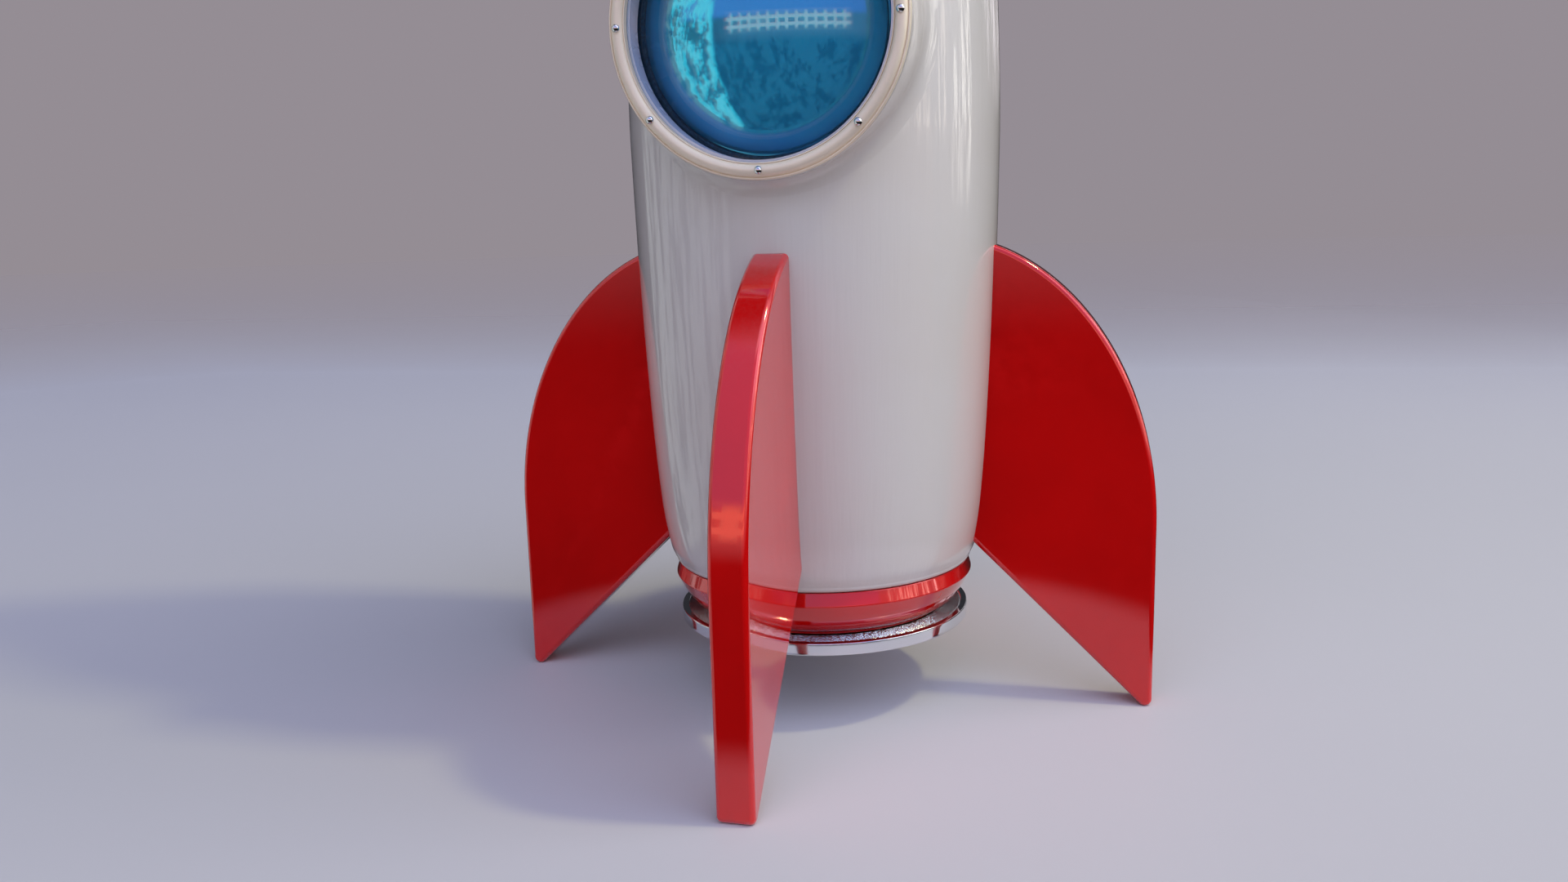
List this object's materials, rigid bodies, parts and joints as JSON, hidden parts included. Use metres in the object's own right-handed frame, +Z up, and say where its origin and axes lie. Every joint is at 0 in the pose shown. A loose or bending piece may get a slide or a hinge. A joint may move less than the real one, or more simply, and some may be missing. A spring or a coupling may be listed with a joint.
{
  "type": "tin toy rocket",
  "caption": "Retro tin toy rocket: glossy white ogive hull on four red fins, round blue porthole with screwed bezel, red nose, screw-off red and chrome tail cap.",
  "frame": {"origin": "on the floor, under the rocket's axis, at the centre of the four fin feet", "axes": "+Z up along the rocket's axis to the nose; the porthole and the front fin face -Y; +X is the rocket's right seen from the front"},
  "size_m": [0.1844, 0.1844, 0.3914],
  "materials": {
    "white_enamel": "gloss white stoved enamel on tinplate",
    "red_enamel": "deep red high-gloss enamel",
    "chrome": "polished chrome plate",
    "satin_nickel": "warm satin nickel",
    "blue_glass": "blue tinted domed glass",
    "blue_foil": "metallic blue lacquered reflector",
    "black_rubber": "matt black moulded rubber",
    "brass": "turned brass, threads bright",
    "zinc_steel": "zinc plated steel"
  },
  "bodies": {
    "rocket": {"bezel_ring": "satin_nickel", "bezel_screw_1": "chrome", "bezel_screw_2": "chrome", "bezel_screw_3": "chrome", "bezel_screw_4": "chrome", "bezel_screw_5": "chrome", "bezel_screw_6": "chrome", "bezel_screw_7": "chrome", "bezel_screw_8": "chrome", "fin_back": "red_enamel", "fin_bar_back": "zinc_steel", "fin_bar_front": "zinc_steel", "fin_bar_left": "zinc_steel", "fin_bar_right": "zinc_steel", "fin_front": "red_enamel", "fin_left": "red_enamel", "fin_right": "red_enamel", "fin_screw_back_lower": "zinc_steel", "fin_screw_back_upper": "zinc_steel", "fin_screw_front_lower": "zinc_steel", "fin_screw_front_upper": "zinc_steel", "fin_screw_left_lower": "zinc_steel", "fin_screw_left_upper": "zinc_steel", "fin_screw_right_lower": "zinc_steel", "fin_screw_right_upper": "zinc_steel", "hull_shell": "white_enamel", "nose_cone": "red_enamel", "nose_finial": "chrome", "nose_trim_ring": "chrome", "porthole_housing": "white_enamel", "rod_guide_nut": "zinc_steel", "rod_guide_plate": "zinc_steel", "tail_neck": "brass", "tie_rod": "zinc_steel", "tie_rod_nut": "zinc_steel", "tie_rod_washer": "zinc_steel", "window_backplate": "blue_foil", "window_dome": "blue_glass", "window_gasket": "black_rubber", "window_lip_ring": "chrome"},
    "tail_seal": {"tail_gasket": "black_rubber"},
    "tail_cap": {"tail_collar": "red_enamel", "tail_sleeve": "brass", "tail_disc": "chrome", "disc_screw_1": "zinc_steel", "disc_screw_2": "zinc_steel", "disc_screw_3": "zinc_steel", "disc_screw_4": "zinc_steel"}
  },
  "joints": [
    {"name": "tail_cap_travel", "type": "slide", "parent": "rocket", "child": "tail_seal", "axis": [0, 0, -1], "range_m": [0, 0.006]},
    {"name": "tail_cap_turn", "type": "hinge", "parent": "tail_seal", "child": "tail_cap", "pos_m": [0, 0, 0.03], "axis": [0, 0, -1], "range_deg": [0, 540]}
  ],
  "couplings": [
    {"joint": "tail_cap_travel", "follows": "tail_cap_turn", "m_per_rad": 0.0006366}
  ]
}
